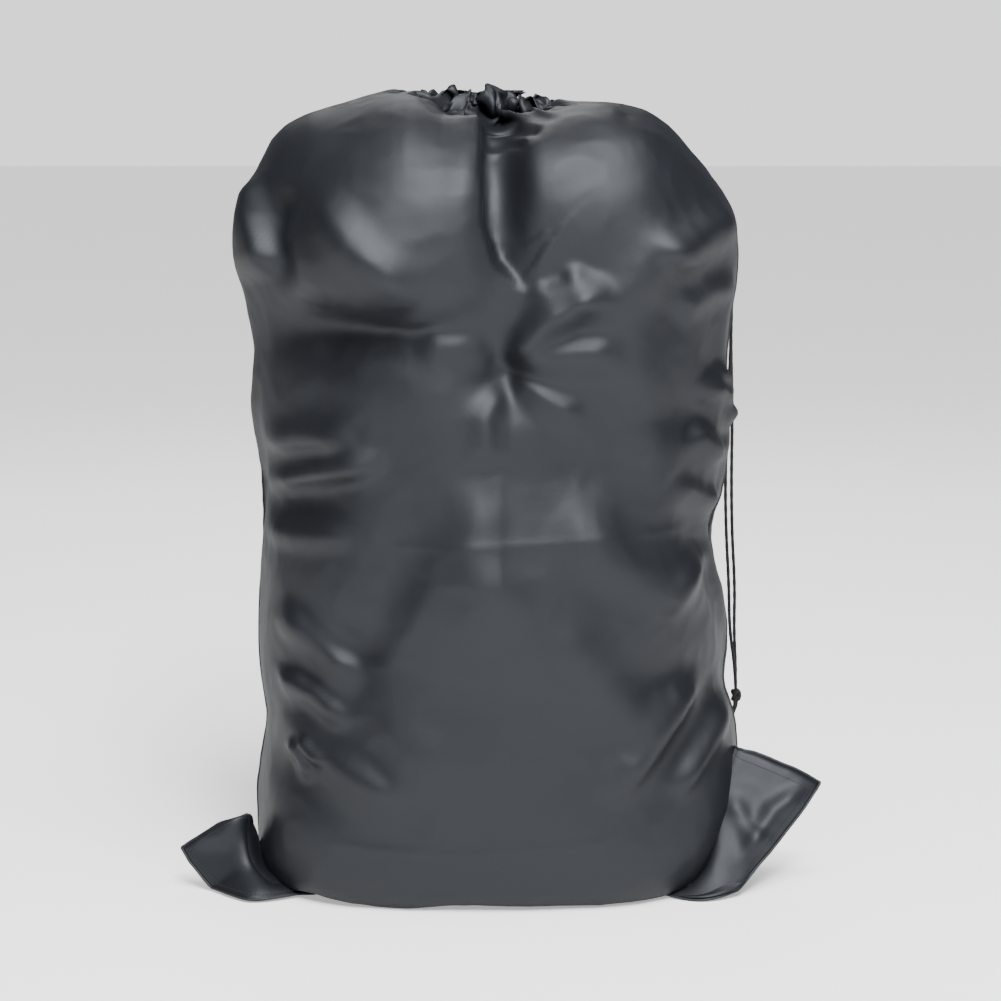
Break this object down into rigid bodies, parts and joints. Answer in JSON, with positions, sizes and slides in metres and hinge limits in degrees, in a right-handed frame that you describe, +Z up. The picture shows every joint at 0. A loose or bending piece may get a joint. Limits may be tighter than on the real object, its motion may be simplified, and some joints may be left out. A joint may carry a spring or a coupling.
{
  "type": "laundry bag",
  "caption": "Filled drawstring laundry bag of dark coated nylon, standing on its base, with sewn bottom corners, a gathered mouth, a cord lock and a drawcord hanging down one side.",
  "frame": {"origin": "on the floor, under the middle of the bag's outline", "axes": "+Z up; the front panel faces -Y; +X towards the side where the drawcord hangs"},
  "size_m": [0.53, 0.3304, 0.665],
  "materials": {
    "nylon": "charcoal coated nylon, plain weave, soft sheen",
    "seam": "overlocked nylon seam, matt",
    "thread": "black polyester thread",
    "cord": "black braided cord",
    "eyelet_metal": "black-nickel plated",
    "lock_plastic": "moulded black acetal",
    "button_plastic": "moulded black acetal",
    "spring_steel": "bright spring wire",
    "laundry": "mixed cotton clothes"
  },
  "bodies": {
    "bag": {"front_panel": "nylon", "back_panel": "nylon", "left_side_seam": "seam", "right_side_seam": "seam", "bottom_seam": "seam", "front_casing": "nylon", "back_casing": "nylon", "casing_stitching": "thread", "mouth_ruffle": "nylon", "drawcord_loop": "cord", "cord_eyelet": "eyelet_metal", "eyelet_washer": "eyelet_metal", "drawcord_outer_top": "cord", "drawcord_inner_top": "cord", "laundry_load": "laundry"},
    "cord_lock": {"lock_barrel": "lock_plastic", "lock_spring": "spring_steel"},
    "lock_button": {"lock_plunger": "button_plastic"},
    "hanging_cord": {"drawcord_outer_hanging": "cord", "drawcord_inner_hanging": "cord", "end_knot": "cord", "drawcord_tail_long": "cord", "drawcord_tail_short": "cord"}
  },
  "joints": [
    {"name": "lock_slide", "type": "slide", "parent": "bag", "child": "cord_lock", "axis": [0.8192, 0.5736, 0], "range_m": [0, 0.015]},
    {"name": "button_press", "type": "slide", "parent": "cord_lock", "child": "lock_button", "axis": [0, 0, -1], "range_m": [0, 0.003], "stiffness_N_per_m": 1200, "springref_m": -0.002, "deforming": ["lock_spring"]},
    {"name": "cord_swing", "type": "hinge", "parent": "bag", "child": "hanging_cord", "pos_m": [0.198, 0.046, 0.472], "axis": [0, -1, 0], "range_deg": [0, 30]}
  ]
}
